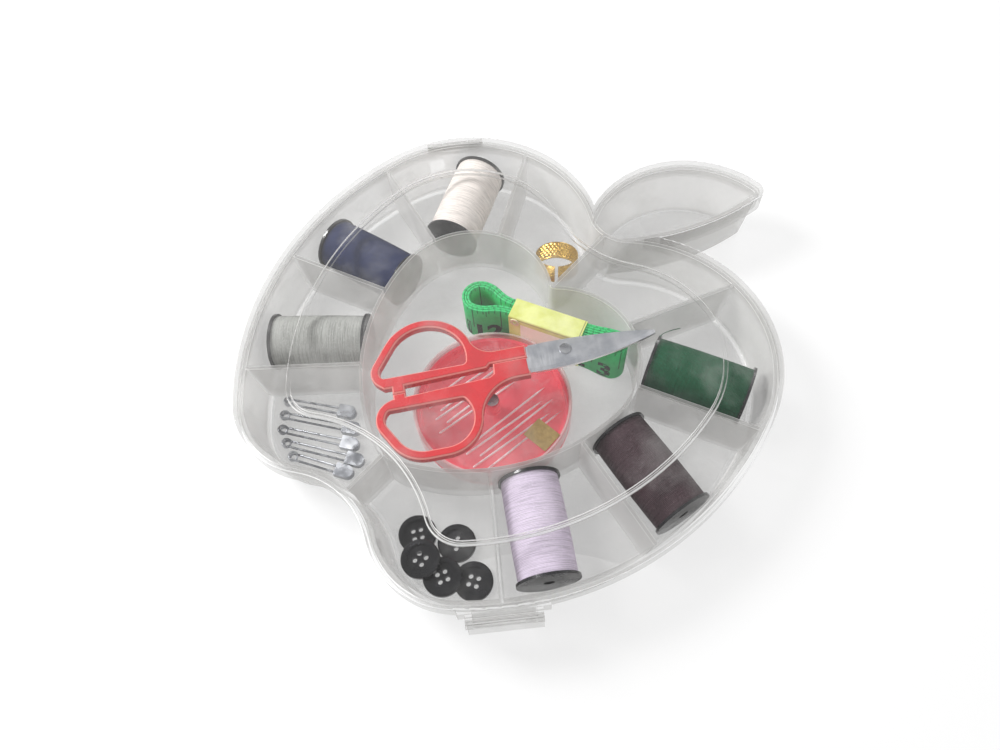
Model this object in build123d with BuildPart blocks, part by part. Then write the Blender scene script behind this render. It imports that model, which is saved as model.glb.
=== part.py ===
from build123d import *
import os
from math import acos, asin, atan2, cos, degrees, hypot, pi, radians, sin, sqrt

# Clear apple-shaped sewing kit case with a leaf dish, lid, latch and its sewing contents.
# Millimetres. The origin is the middle of the apple on the flat underside, the stem points
# to +Y and the lid opens about a hinge on the left shoulder.

# Outline of the lid's rim, as tangent arcs on each side of the stem line
rim_lobe_x = 38.1
rim_lobe_top = 80.8
rim_lobe_radius = 51.4
rim_notch_depth = 12.8
rim_flank_radius = 111.1
rim_foot_x = 32.1
rim_foot_bottom = -77.6
rim_foot_radius = 29.9
rim_foot_depth = 9.2

# Outline of the lid's raised panel
panel_lobe_x = 34.5
panel_lobe_top = 64.2
panel_lobe_radius = 38.6
panel_notch_depth = 8.2
panel_flank_radius = 101.8
panel_foot_x = 32.7
panel_foot_bottom = -58.9
panel_foot_radius = 12.5
panel_foot_depth = 9.4

# Outline of the ring wall round the middle compartment, which has a plain round foot
ring_lobe_x = 19.8
ring_lobe_top = 42.9
ring_lobe_radius = 29.5
ring_notch_depth = 7.0
ring_flank_radius = 73.0
ring_foot_bottom = -50.0
ring_foot_radius = 18.0

# Leaf dish: two arcs from the stem to a rounded tip
leaf_back_radius = 38.6
leaf_belly_radius = 100.0
leaf_tip_x = 29.93
leaf_tip_y = 116.01
leaf_tip_radius = 4.6
leaf_tip_least = 1.2
leaf_root_left_x = -8.74
leaf_root_right_x = 8.59
leaf_root_y = 66.0
leaf_root_length = 5.0
leaf_panel_inset = 4.6
leaf_floor_round = 1.0

# Tray
floor_thickness = 1.6
base_height = 23.0
tray_wall = 1.3
tray_draft = 2.2
tray_foot_round = 1.8
tray_floor_round = 2.4
web_thickness = 1.2
web_draft = 0.3

# Lid
lid_wall = 1.3
skirt_clearance = 0.5
skirt_bottom = 17.0
lid_lift = 0.5
panel_rise = 2.3
rim_round = 0.7
panel_slope = 15.0
panel_draw = 0.9

# Dividers on the right-hand side, from the ring outwards; the left side mirrors them
divider_roots = ((30.3, 39.9), (47.6, 23.2), (46.9, -4.9), (30.0, -31.4))
divider_angles = (63.5, 18.0, -17.0, -43.0)
divider_length = 60.0
divider_overlap = 6.0

# Hinge on the left shoulder and latch opposite it
latch_bearing = -42.6
hinge_height = 16.8
hinge_offset = 2.7
knuckle_radius = 2.2
hinge_pin_radius = 0.9
lid_knuckle_width = 10.0
base_knuckle_width = 6.0
knuckle_gap = 0.3
arm_clearance = 0.2
arm_drop = 7.0
pin_fit = 0.02
pin_chamfer = 0.2
running_fit = 0.06

latch_width = 23.2
latch_pad_width = 28.0
latch_pad_proud = 0.4
latch_pin_height = 21.0
latch_pin_offset = 2.6
latch_pin_radius = 0.6
latch_barrel_radius = 1.5
latch_ear_radius = 1.7
latch_ear_width = 2.2
latch_gap = 0.2
flap_bottom = 9.5
flap_shoulder = 19.0
flap_thickness = 1.8
flap_inner = 1.1
flap_flare = 0.9
flap_flare_height = 3.0
bead_middle = 11.9
bead_height = 1.8
bead_reach = 0.55
groove_pitch = 1.1
groove_depth = 0.35
groove_length = 5.5
groove_count = 4
ledge_top = 14.6
ledge_thickness = 1.6
ledge_reach = 0.3
ledge_width = 20.0

# Spools
spool_length = 34.6
spool_headroom = 1.1
spool_flange = 0.9
spool_core_radius = 4.2
spool_bore_radius = 1.8
thread_inset = 0.6
thread_crown = 0.25
spool_places = {
    "gray": (-53.4, -31.7),
    "navy": (-66.22, 4.89),
    "silver": (-56.2, 48.6),
    "green": (59.1, 43.4),
    "maroon": (67.1, 5.1),
    "lilac": (52.0, -33.2),
}
spool_turns = {"gray": 40.3, "navy": 9.2, "silver": 113.0, "green": 17.9, "maroon": -15.3,
               "lilac": -38.7}

# Scissors, drawn about the rivet with the tip along their own X axis
scissors_x = 20.6
scissors_y = 17.6
scissors_turn = 52.3
scissors_seat = 0.1
blade_thickness = 0.7
blade_gap = 0.05
blade_tip_x = 31.6
blade_tip_y = 0.5
blade_spine_y = 3.9
blade_edge_y = -6.3
blade_middle_x = 12.0
blade_spine_middle = 3.4
blade_edge_middle = -4.8
blade_bevel_height = 0.4
blade_bevel_width = 1.3
tang_length = 9.0
tang_inset = 0.7
bolster_x = -13.3
bolster_clear = 0.2
handle_drop = 2.05
handle_lift = 0.15
handle_gap = 0.1
handle_split_y = -0.25
handle_bevel = 0.6
handle_band = 3.0
handle_shoulder_y = 4.5
handle_heel_y = -7.2
upper_circles = ((-60.3, 3.8, 6.3), (-47.0, 5.5, 16.3))
upper_shoulder_radius = 8.0
upper_bar = ((-60.3, -2.5), (-27.6, -1.45), (-26.2, -0.15))
upper_hole_y = 1.6
lower_circles = ((-59.3, -14.2, 7.4), (-51.0, -17.3, 13.0), (-44.5, -17.3, 13.0))
lower_shoulder_radius = 14.0
lower_bar = ((-59.3, -6.8), (-27.0, -5.2), (-25.6, -4.2), (-25.2, -0.35))
lower_hole_y = -10.8
grip_hole_round = 1.4
stop_x = -57.9
stop_length = 4.2
stop_depth = 4.0
stop_y = -4.95
rivet_radius = 1.3
rivet_head_radius = 2.1
rivet_head_height = 0.5

# Needle case: a dish and a turning cover
case_x = 9.4
case_y = -8.5
case_radius = 28.0
case_height = 9.0
case_base_height = 6.8
case_wall = 1.1
case_play = 0.25
case_foot = 1.2
case_skirt_gap = 0.2
case_cover_gap = 0.05
case_boss_radius = 2.6
case_rivet_radius = 1.2
case_rivet_head = 2.4
case_rivet_height = 0.6
needle_length = 34.0
needle_radius = 0.38
needle_point = 4.0
needle_eye_length = 1.8
needle_eye_width = 0.3
needle_offsets = (-16.4, -13.6, -10.9, -8.2, -5.4, 4.2, 6.8, 9.4, 12.0, 14.7, 17.5)
needle_slides = (1.5, -2.0, 2.5, -1.0, 3.0, -3.5, 1.0, -1.5, 2.0, -0.5, 0.5)
needle_turn = 80.0
needle_lean = 1.5
label_x = 31.2
label_y = -7.2
label_length = 9.6
label_width = 8.0
label_thickness = 0.25

# Tape measure: one flat band wound into an oval coil, squeezed by its paper sleeve
tape_x = 6.8
tape_y = 24.8
tape_turn = 18.5
tape_headroom = 0.1
tape_thickness = 0.5
tape_pitch = 0.92
tape_turns = 4
tape_left_x = -26.5
tape_left_radius = 7.0
tape_right_x = 25.0
tape_right_radius = 4.7
tape_waist = 3.75
tape_waist_x = 14.0
tape_end_x = 10.0
sleeve_length = 27.0
sleeve_thickness = 0.35
sleeve_play = 0.1
eyelet_x = -11.0
eyelet_drop = 2.6
eyelet_radius = 1.8
eyelet_bore = 0.8
eyelet_thickness = 0.4

# Ring thimble standing on edge
thimble_x = -11.6
thimble_y = 51.9
thimble_turn = -51.0
thimble_radius = 8.2
thimble_wall = 0.6
thimble_width = 7.4
thimble_split = 1.4

# Buttons, some lying on others
button_radius = 6.4
button_thickness = 2.2
button_gap = 0.05
button_dish = 4.6
button_dish_depth = 0.7
button_chamfer = 0.4
button_hole_radius = 0.8
button_hole_pitch = 2.6
button_places = ((21.0, -58.9), (33.0, -52.5), (45.6, -58.0), (37.6, -63.8), (28.8, -64.6))
button_levels = (0, 0, 0, 1, 2)
button_turns = (10.0, 35.0, 70.0, 20.0, 55.0)

# Safety pins, from the middle of the coil to the far end of the cap
pin_wire_radius = 0.4
pin_coil_radius = 1.4
pin_coil_rise = 0.46
pin_bend_radius = 1.3
pin_cap_length = 6.6
pin_cap_width = 4.6
pin_cap_height = 2.6
pin_cap_wall = 0.5
pin_spread = 1.15
safety_pin_places = (
    (-49.6, -54.8, -27.3, -42.0),
    (-46.4, -59.4, -21.2, -45.4),
    (-42.6, -63.6, -17.2, -49.9),
    (-37.6, -66.2, -11.4, -53.0),
    (-32.0, -68.0, -11.0, -58.6),
)

os.makedirs("parts", exist_ok=True)

wall_inset = lid_wall + skirt_clearance
hinge_length = lid_knuckle_width + 2 * (base_knuckle_width + knuckle_gap)
rim_shape = (rim_lobe_x, rim_lobe_top, rim_lobe_radius, rim_notch_depth, rim_flank_radius,
             rim_foot_x, rim_foot_bottom, rim_foot_radius, rim_foot_depth)
panel_shape = (panel_lobe_x, panel_lobe_top, panel_lobe_radius, panel_notch_depth,
               panel_flank_radius, panel_foot_x, panel_foot_bottom, panel_foot_radius,
               panel_foot_depth)
ring_shape = (ring_lobe_x, ring_lobe_top, ring_lobe_radius, ring_notch_depth,
              ring_flank_radius, 0.0, ring_foot_bottom, ring_foot_radius, 0.0)


def meeting_point(a, b, distance_a, distance_b, side):
    # The point at two given distances from a and b, on the left (1) or right (-1) of a to b.
    length = hypot(b[0] - a[0], b[1] - a[1])
    ex, ey = (b[0] - a[0]) / length, (b[1] - a[1]) / length
    along = (distance_a ** 2 - distance_b ** 2 + length ** 2) / (2 * length)
    across = side * sqrt(distance_a ** 2 - along ** 2)
    return a[0] + along * ex - across * ey, a[1] + along * ey + across * ex


def bearing(a, b):
    return degrees(atan2(b[1] - a[1], b[0] - a[0]))


def apple_centres(shape):
    # Centres and radii of the arcs of the right half, from the top notch down to the foot.
    lobe_x, lobe_top, lobe_r, notch_depth, flank_r, foot_x, foot_bottom, foot_r, foot_depth = shape
    lobe = (lobe_x, lobe_top - lobe_r)
    rise = lobe_r - notch_depth
    notch_r = (lobe_x ** 2 + rise ** 2 - lobe_r ** 2) / (2 * (lobe_r - rise))
    notch = (0.0, lobe_top - notch_depth + notch_r)
    foot = (foot_x, foot_bottom + foot_r)
    flank = meeting_point(lobe, foot, flank_r - lobe_r, flank_r - foot_r, -1)
    return notch, notch_r, lobe, lobe_r, flank, flank_r, foot, foot_r


def apple(shape, inset=0.0):
    # A face of the apple outline, drawn in by the inset.
    notch, notch_r, lobe, lobe_r, flank, flank_r, foot, foot_r = apple_centres(shape)
    foot_x, foot_bottom, foot_depth = shape[5], shape[6], shape[8]
    turn_a = bearing(notch, lobe)
    turn_b = bearing(flank, lobe)
    turn_c = bearing(flank, foot)
    with BuildSketch() as outline:
        with BuildLine():
            CenterArc(notch, notch_r + inset, -90, turn_a + 90)
            CenterArc(lobe, lobe_r - inset, turn_a + 180, turn_b - turn_a - 180)
            CenterArc(flank, flank_r - inset, turn_b, turn_c - turn_b)
            if foot_x > 0:
                rise = foot_r - foot_depth
                arch_r = (foot_x ** 2 + rise ** 2 - foot_r ** 2) / (2 * (foot_r - rise))
                arch = (0.0, foot_bottom + foot_depth - arch_r)
                turn_d = bearing(foot, arch)
                CenterArc(foot, foot_r - inset, turn_c, turn_d - turn_c)
                CenterArc(arch, arch_r + inset, turn_d + 180, -90 - turn_d)
            else:
                CenterArc(foot, foot_r - inset, turn_c, -90 - turn_c)
            mirror(about=Plane.YZ)
        make_face()
    return outline.sketch


def leaf(inset=0.0):
    # A face of the leaf outline, closed inside the apple.
    tip = (leaf_tip_x, leaf_tip_y)
    back = meeting_point(tip, (leaf_root_left_x, leaf_root_y),
                         leaf_back_radius - leaf_tip_radius, leaf_back_radius, 1)
    belly = meeting_point(tip, (leaf_root_right_x, leaf_root_y),
                          leaf_belly_radius - leaf_tip_radius, leaf_belly_radius, -1)
    back_r = leaf_back_radius - inset
    belly_r = leaf_belly_radius - inset
    tip_r = max(leaf_tip_radius - inset, leaf_tip_least)
    tip = meeting_point(back, belly, back_r - tip_r, belly_r - tip_r, -1)
    start = 180 - degrees(asin((leaf_root_y - back[1]) / back_r))
    finish = degrees(asin((leaf_root_y - belly[1]) / belly_r))
    turn_a = bearing(back, tip)
    turn_b = bearing(belly, tip)
    with BuildSketch() as outline:
        with BuildLine():
            left = CenterArc(back, back_r, start, turn_a - start)
            CenterArc(tip, tip_r, turn_a, turn_b - turn_a)
            right = CenterArc(belly, belly_r, turn_b, finish - turn_b)
            Polyline(right @ 1, (right @ 1) - (0, leaf_root_length),
                     (left @ 0) - (0, leaf_root_length), left @ 0)
        make_face()
    return outline.sketch


# Plain blocks that the tray is cut from
with BuildPart() as apple_block:
    with BuildSketch():
        add(apple(rim_shape, wall_inset + tray_draft))
    with BuildSketch(Plane.XY.offset(base_height)):
        add(apple(rim_shape, wall_inset))
    loft(ruled=True)
    fillet(apple_block.faces().sort_by(Axis.Z)[0].edges(), tray_foot_round)

with BuildPart() as apple_cavity:
    with BuildSketch(Plane.XY.offset(floor_thickness)):
        add(apple(rim_shape, wall_inset + tray_draft + tray_wall))
    with BuildSketch(Plane.XY.offset(base_height)):
        add(apple(rim_shape, wall_inset + tray_wall))
    loft(ruled=True)
    fillet(apple_cavity.faces().sort_by(Axis.Z)[0].edges(), tray_floor_round)

with BuildPart() as leaf_block:
    with BuildSketch():
        add(leaf(wall_inset + tray_draft))
    with BuildSketch(Plane.XY.offset(base_height)):
        add(leaf(wall_inset))
    loft(ruled=True)

with BuildPart() as leaf_pocket:
    with BuildSketch(Plane.XY.offset(floor_thickness)):
        add(leaf(wall_inset + tray_draft + tray_wall))
    with BuildSketch(Plane.XY.offset(base_height)):
        add(leaf(wall_inset + tray_wall))
    loft(ruled=True)
    fillet(leaf_pocket.faces().sort_by(Axis.Z)[0].edges(), leaf_floor_round)
    add(apple_block.part, mode=Mode.SUBTRACT)

# Hinge: its axis lies outside the left shoulder; latch: on the right flank opposite
shape_centres = apple_centres(rim_shape)
lobe_centre, flank_centre = shape_centres[2], shape_centres[4]
latch_out = (cos(radians(latch_bearing)), sin(radians(latch_bearing)), 0)
hinge_out = (-latch_out[0], -latch_out[1], 0)
hinge_reach = rim_lobe_radius + hinge_offset
hinge_plane = Plane(
    origin=(-lobe_centre[0] + hinge_reach * hinge_out[0],
            lobe_centre[1] + hinge_reach * hinge_out[1], hinge_height),
    x_dir=hinge_out,
    z_dir=(hinge_out[1], -hinge_out[0], 0),
)
latch_plane = Plane(
    origin=(flank_centre[0] + rim_flank_radius * latch_out[0],
            flank_centre[1] + rim_flank_radius * latch_out[1], 0),
    x_dir=latch_out,
    z_dir=(latch_out[1], -latch_out[0], 0),
)
tray_reach = -(hinge_offset + wall_inset + tray_draft + tray_wall)
base_knuckle_start = lid_knuckle_width / 2 + knuckle_gap

with BuildPart() as base_tray:
    add(apple_block.part)
    add(leaf_block.part)
    # Hinge arms reach out under the skirt and end in round knuckles
    for side in (1, -1):
        with BuildSketch(hinge_plane.offset(side * base_knuckle_start)):
            Circle(knuckle_radius)
            with BuildLine():
                Polyline((tray_reach, -arm_drop), (0, -knuckle_radius), (0, -arm_clearance),
                         (tray_reach, -arm_clearance), close=True)
            make_face()
        extrude(amount=side * base_knuckle_width)
    # Ledge under the latch
    with BuildSketch(latch_plane.offset(-ledge_width / 2)):
        with BuildLine():
            Polyline((-wall_inset - tray_draft, ledge_top - 2 * ledge_thickness),
                     (ledge_reach, ledge_top - ledge_thickness), (ledge_reach, ledge_top),
                     (-wall_inset - tray_draft, ledge_top), close=True)
        make_face()
    extrude(amount=ledge_width)
    add(apple_cavity.part, mode=Mode.SUBTRACT)
    add(leaf_pocket.part, mode=Mode.SUBTRACT)

with BuildPart() as ring_core:
    with BuildSketch(Plane.XY.offset(floor_thickness)):
        add(apple(ring_shape, web_thickness + web_draft))
    with BuildSketch(Plane.XY.offset(base_height)):
        add(apple(ring_shape, web_thickness))
    loft(ruled=True)

with BuildPart() as webs:
    with BuildSketch(Plane.XY.offset(floor_thickness)):
        add(apple(ring_shape, -web_draft))
    with BuildSketch(Plane.XY.offset(base_height)):
        add(apple(ring_shape))
    loft(ruled=True)
    with BuildSketch(Plane.XY.offset(floor_thickness)):
        for (root_x, root_y), turn in zip(divider_roots, divider_angles):
            for side in (1, -1):
                lean = turn if side == 1 else 180 - turn
                middle = divider_length / 2 - divider_overlap
                with Locations((side * (root_x + middle * cos(radians(turn))),
                                root_y + middle * sin(radians(turn)))):
                    Rectangle(divider_length, web_thickness, rotation=lean)
        with Locations((0, ring_lobe_top - ring_notch_depth + divider_length / 2),
                       (0, ring_foot_bottom - divider_length / 2)):
            Rectangle(web_thickness, divider_length + 2 * web_thickness)
    extrude(amount=base_height - floor_thickness)
    add(ring_core.part, mode=Mode.SUBTRACT)
    add(apple_block.part, mode=Mode.INTERSECT)

with base_tray:
    add(webs.part)
    with BuildSketch(hinge_plane.offset(-hinge_length / 2)):
        Circle(hinge_pin_radius + pin_fit)
    extrude(amount=hinge_length, mode=Mode.SUBTRACT)

base_tray.part.label = "base_tray"
export_step(base_tray.part, "parts/base_tray.step")

# Lid: skirt outside the tray's wall, flat rim, raised panels over the apple and the leaf
rim_under = base_height + lid_lift
rim_top = rim_under + lid_wall
panel_under = rim_top - lid_wall + panel_rise
panel_top = panel_under + lid_wall

with BuildPart() as leaf_lid:
    with BuildSketch(Plane.XY.offset(skirt_bottom)):
        add(leaf())
    extrude(amount=rim_top - skirt_bottom)
    fillet(leaf_lid.faces().sort_by(Axis.Z)[-1].edges(), rim_round)
    with BuildSketch(Plane.XY.offset(rim_under)):
        add(leaf(leaf_panel_inset))
        add(apple(rim_shape, -leaf_panel_inset), mode=Mode.SUBTRACT)
    extrude(amount=panel_top - rim_under, taper=panel_slope)

with BuildPart() as lid:
    with BuildSketch(Plane.XY.offset(skirt_bottom)):
        add(apple(rim_shape))
    extrude(amount=rim_top - skirt_bottom)
    fillet(lid.faces().sort_by(Axis.Z)[-1].edges(), rim_round)
    with BuildSketch(Plane.XY.offset(rim_under)):
        add(apple(panel_shape))
    with BuildSketch(Plane.XY.offset(panel_top)):
        add(apple(panel_shape, panel_draw))
    loft(ruled=True)
    fillet(lid.faces().sort_by(Axis.Z)[-1].edges(), rim_round)
    add(leaf_lid.part)
    # Hinge knuckle with its web, and the pad and ears that carry the latch
    with BuildSketch(hinge_plane.offset(-lid_knuckle_width / 2)):
        Circle(knuckle_radius)
        with BuildLine():
            Polyline((-hinge_offset - lid_wall, skirt_bottom - hinge_height),
                     (0, skirt_bottom - hinge_height), (0, knuckle_radius),
                     (-hinge_offset - lid_wall, knuckle_radius), close=True)
        make_face()
    extrude(amount=lid_knuckle_width)
    with BuildSketch(latch_plane.offset(-latch_pad_width / 2)):
        with BuildLine():
            Polyline((-lid_wall, skirt_bottom), (latch_pad_proud, skirt_bottom),
                     (latch_pad_proud, rim_top - rim_round), (-lid_wall, rim_top - rim_round),
                     close=True)
        make_face()
    extrude(amount=latch_pad_width)
    for side in (1, -1):
        with BuildSketch(latch_plane.offset(side * latch_width / 2)):
            with Locations((latch_pin_offset, latch_pin_height)):
                Circle(latch_ear_radius)
            with Locations((latch_pin_offset / 2, latch_pin_height)):
                Rectangle(latch_pin_offset, 2 * latch_ear_radius)
        extrude(amount=-side * latch_ear_width)
    # Hollow under the rim and under the panels
    with BuildSketch(Plane.XY.offset(skirt_bottom)):
        add(apple(rim_shape, lid_wall))
        add(leaf(lid_wall))
    extrude(amount=rim_under - skirt_bottom, mode=Mode.SUBTRACT)
    with BuildSketch(Plane.XY.offset(rim_under)):
        add(apple(panel_shape, lid_wall))
    with BuildSketch(Plane.XY.offset(panel_under)):
        add(apple(panel_shape, lid_wall + panel_draw))
    loft(ruled=True, mode=Mode.SUBTRACT)
    with BuildSketch(Plane.XY.offset(rim_under)):
        add(leaf(leaf_panel_inset + lid_wall))
        add(apple(rim_shape, -leaf_panel_inset - lid_wall), mode=Mode.SUBTRACT)
    extrude(amount=panel_under - rim_under, taper=panel_slope, mode=Mode.SUBTRACT)
    with BuildSketch(hinge_plane.offset(-hinge_length / 2)):
        Circle(hinge_pin_radius + running_fit)
    extrude(amount=hinge_length, mode=Mode.SUBTRACT)
    with BuildSketch(latch_plane.offset(-latch_width / 2)):
        with Locations((latch_pin_offset, latch_pin_height)):
            Circle(latch_pin_radius + pin_fit)
    extrude(amount=latch_width, mode=Mode.SUBTRACT)

lid.part.label = "lid"
export_step(lid.part, "parts/lid.step")

with BuildPart() as hinge_pin:
    with BuildSketch(hinge_plane.offset(-hinge_length / 2)):
        Circle(hinge_pin_radius)
    extrude(amount=hinge_length)
    chamfer(hinge_pin.edges(), pin_chamfer)

hinge_pin.part.label = "hinge_pin"
export_step(hinge_pin.part, "parts/hinge_pin.step")

# Latch flap: a barrel between the ears, a plate below them, a bead inside and a finger lip
barrel_length = latch_width - 2 * (latch_ear_width + latch_gap)
flap_outer = flap_inner + flap_thickness

with BuildPart() as latch_flap:
    with BuildSketch(latch_plane.offset(-barrel_length / 2)):
        with Locations((latch_pin_offset, latch_pin_height)):
            Circle(latch_barrel_radius)
        with Locations((flap_outer - flap_thickness / 2, (flap_shoulder + latch_pin_height) / 2)):
            Rectangle(flap_thickness * 2 / 3, latch_pin_height - flap_shoulder)
    extrude(amount=barrel_length)
    with BuildSketch(latch_plane.offset(-latch_width / 2)):
        with BuildLine():
            Polyline((flap_inner, flap_shoulder), (flap_inner, flap_bottom),
                     (flap_outer + flap_flare, flap_bottom), (flap_outer + flap_flare,
                     flap_bottom + flap_thickness / 2), (flap_outer, flap_bottom + flap_flare_height),
                     (flap_outer, flap_shoulder), close=True)
        make_face()
    extrude(amount=latch_width)
    with BuildSketch(latch_plane.offset(-ledge_width / 2)):
        with BuildLine():
            Polyline((flap_inner, bead_middle + bead_height / 2), (bead_reach, bead_middle),
                     (flap_inner, bead_middle - bead_height / 2), close=True)
        make_face()
    extrude(amount=ledge_width)
    # Grip grooves at both ends of the outer face
    for side in (1, -1):
        with BuildSketch(latch_plane.offset(side * latch_width / 2)):
            for row in range(groove_count):
                with Locations((flap_outer, flap_shoulder - (row + 1) * groove_pitch)):
                    Rectangle(2 * groove_depth, groove_pitch / 2)
        extrude(amount=-side * groove_length, mode=Mode.SUBTRACT)
    with BuildSketch(latch_plane.offset(-latch_width / 2)):
        with Locations((latch_pin_offset, latch_pin_height)):
            Circle(latch_pin_radius + running_fit)
    extrude(amount=latch_width, mode=Mode.SUBTRACT)

latch_flap.part.label = "latch_flap"
export_step(latch_flap.part, "parts/latch_flap.step")

with BuildPart() as latch_pin:
    with BuildSketch(latch_plane.offset(-latch_width / 2)):
        with Locations((latch_pin_offset, latch_pin_height)):
            Circle(latch_pin_radius)
    extrude(amount=latch_width)

latch_pin.part.label = "latch_pin"
export_step(latch_pin.part, "parts/latch_pin.step")

# Spools: a core with two thin flanges and its thread, lying in their compartments
spool_radius = (base_height + lid_lift - floor_thickness - spool_headroom) / 2
thread_radius = spool_radius - thread_inset

for color, (spool_x, spool_y) in spool_places.items():
    spool_turn = spool_turns[color]
    spool_plane = Plane(
        origin=(spool_x, spool_y, floor_thickness + spool_radius),
        x_dir=(cos(radians(spool_turn)), sin(radians(spool_turn)), 0),
        z_dir=(sin(radians(spool_turn)), -cos(radians(spool_turn)), 0),
    )
    half = spool_length / 2
    wound = half - spool_flange
    with BuildPart() as spool_core:
        with BuildSketch(spool_plane):
            with BuildLine():
                Polyline((-half, spool_bore_radius), (-half, spool_radius), (-wound, spool_radius),
                         (-wound, spool_core_radius), (wound, spool_core_radius),
                         (wound, spool_radius), (half, spool_radius), (half, spool_bore_radius),
                         close=True)
            make_face()
        revolve(axis=Axis(spool_plane.origin, spool_plane.x_dir))
    spool_core.part.label = color + "_spool"
    export_step(spool_core.part, "parts/" + color + "_spool.step")
    with BuildPart() as spool_thread:
        with BuildSketch(spool_plane):
            with BuildLine():
                edge = Polyline((-wound, thread_radius - thread_crown), (-wound, spool_core_radius),
                                (wound, spool_core_radius), (wound, thread_radius - thread_crown))
                ThreePointArc(edge @ 1, (0, thread_radius), edge @ 0)
            make_face()
        revolve(axis=Axis(spool_plane.origin, spool_plane.x_dir))
    spool_thread.part.label = color + "_thread"
    export_step(spool_thread.part, "parts/" + color + "_thread.step")

# Scissors: the upper blade and the lower handle lie still, the other two swing together
def scissors_level(z):
    return Plane(origin=(scissors_x, scissors_y, z),
                 x_dir=(cos(radians(scissors_turn)), sin(radians(scissors_turn)), 0),
                 z_dir=(0, 0, 1))


def finger_loop(circles, inset):
    # The face stretched round each circle and the next, drawn in by the inset.
    with BuildSketch() as loop:
        for a, b in zip(circles, circles[1:]):
            lean = bearing(a, b)
            spread = degrees(acos((a[2] - b[2]) / hypot(b[0] - a[0], b[1] - a[1])))
            with BuildLine():
                back = CenterArc(a[:2], a[2] - inset, lean + spread, 360 - 2 * spread)
                front = CenterArc(b[:2], b[2] - inset, lean - spread, 2 * spread)
                Line(back @ 1, front @ 0)
                Line(front @ 1, back @ 0)
            make_face()
    return loop.sketch


def handle_outline(circles, shoulder_radius, outer_y, bar, hole_y, side):
    # A finger loop, its bar and the shank up to the bolster, on one side of the split line.
    loop_x, loop_y, loop_radius = circles[-1]
    centre_y = outer_y + side * shoulder_radius
    reach = loop_radius + shoulder_radius
    centre_x = loop_x + sqrt(reach ** 2 - (centre_y - loop_y) ** 2)
    touch = (loop_x + loop_radius * (centre_x - loop_x) / reach,
             loop_y + loop_radius * (centre_y - loop_y) / reach)
    split_y = handle_split_y + side * handle_gap
    sweep_x, sweep_y = touch[0] - centre_x, touch[1] - centre_y - side * shoulder_radius
    scale = shoulder_radius / hypot(sweep_x, sweep_y)
    with BuildSketch() as outline:
        add(finger_loop(circles, 0))
        with BuildLine():
            edge = Polyline(touch, (loop_x, loop_y), *bar, (bolster_x, split_y),
                            (bolster_x, outer_y), (centre_x, outer_y))
            ThreePointArc(edge @ 1, (centre_x + scale * sweep_x, centre_y + scale * sweep_y),
                          edge @ 0)
        make_face()
        # Nothing of the loop reaches past its bar, except the stop at its end
        with BuildLine():
            Polyline((2 * loop_x, bar[0][1]), *bar, (0, split_y), (0, -side * reach * 2),
                     (2 * loop_x, -side * reach * 2), close=True)
        make_face(mode=Mode.SUBTRACT)
        with Locations((stop_x, stop_y + side * (handle_gap + stop_depth / 2))):
            Rectangle(stop_length, stop_depth)
        with BuildSketch(mode=Mode.PRIVATE) as hole:
            add(finger_loop(circles, handle_band))
            with Locations((loop_x, hole_y - side * loop_radius)):
                Rectangle(4 * loop_radius, 2 * loop_radius, mode=Mode.SUBTRACT)
            fillet(hole.vertices().group_by(Axis.Y)[0 if side > 0 else -1], grip_hole_round)
        add(hole.sketch, mode=Mode.SUBTRACT)
    return outline.sketch


def blade_outline(side):
    # The blade, cut back round the rivet where the other handle swings past, and its tang.
    with BuildSketch() as outline:
        with BuildLine():
            spine = ThreePointArc((bolster_x, blade_spine_y), (blade_middle_x, blade_spine_middle),
                                  (blade_tip_x - 0.4, blade_tip_y + 0.7))
            cutting = ThreePointArc(*blade_cutting)
            ThreePointArc(spine @ 1, (blade_tip_x, blade_tip_y), cutting @ 1)
            Line(cutting @ 0, spine @ 0)
        make_face()
        with BuildSketch(mode=Mode.PRIVATE) as kept:
            Circle(-bolster_x - bolster_clear)
            with Locations((blade_tip_x, 0)):
                Rectangle(2 * blade_tip_x, 4 * blade_tip_x)
            with Locations((0, handle_split_y + side * (blade_tip_x + handle_gap))):
                Rectangle(4 * blade_tip_x, 2 * blade_tip_x)
        add(kept.sketch, mode=Mode.INTERSECT)
        tang_outer = blade_spine_y if side > 0 else blade_edge_y
        tang_width = abs(tang_outer - handle_split_y) - 2 * tang_inset
        with Locations((bolster_x - tang_length / 2, (tang_outer + handle_split_y) / 2)):
            Rectangle(tang_length, tang_width)
    return outline.sketch


lower_blade_z = base_height + scissors_seat
upper_blade_z = lower_blade_z + blade_thickness + blade_gap
blade_top = upper_blade_z + blade_thickness
handle_bottom = lower_blade_z - handle_drop
handle_top = blade_top + handle_lift
blade_cutting = ((bolster_x, blade_edge_y), (blade_middle_x, blade_edge_middle),
                 (blade_tip_x - 0.2, blade_tip_y - 0.5))
cutting_arc = ThreePointArc(*blade_cutting)
fixed_blade_outline = blade_outline(-1)
moving_blade_outline = blade_outline(1)
fixed_handle_outline = handle_outline(lower_circles, lower_shoulder_radius, handle_heel_y,
                                      lower_bar, lower_hole_y, -1)
moving_handle_outline = handle_outline(upper_circles, upper_shoulder_radius, handle_shoulder_y,
                                       upper_bar, upper_hole_y, 1)

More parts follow.
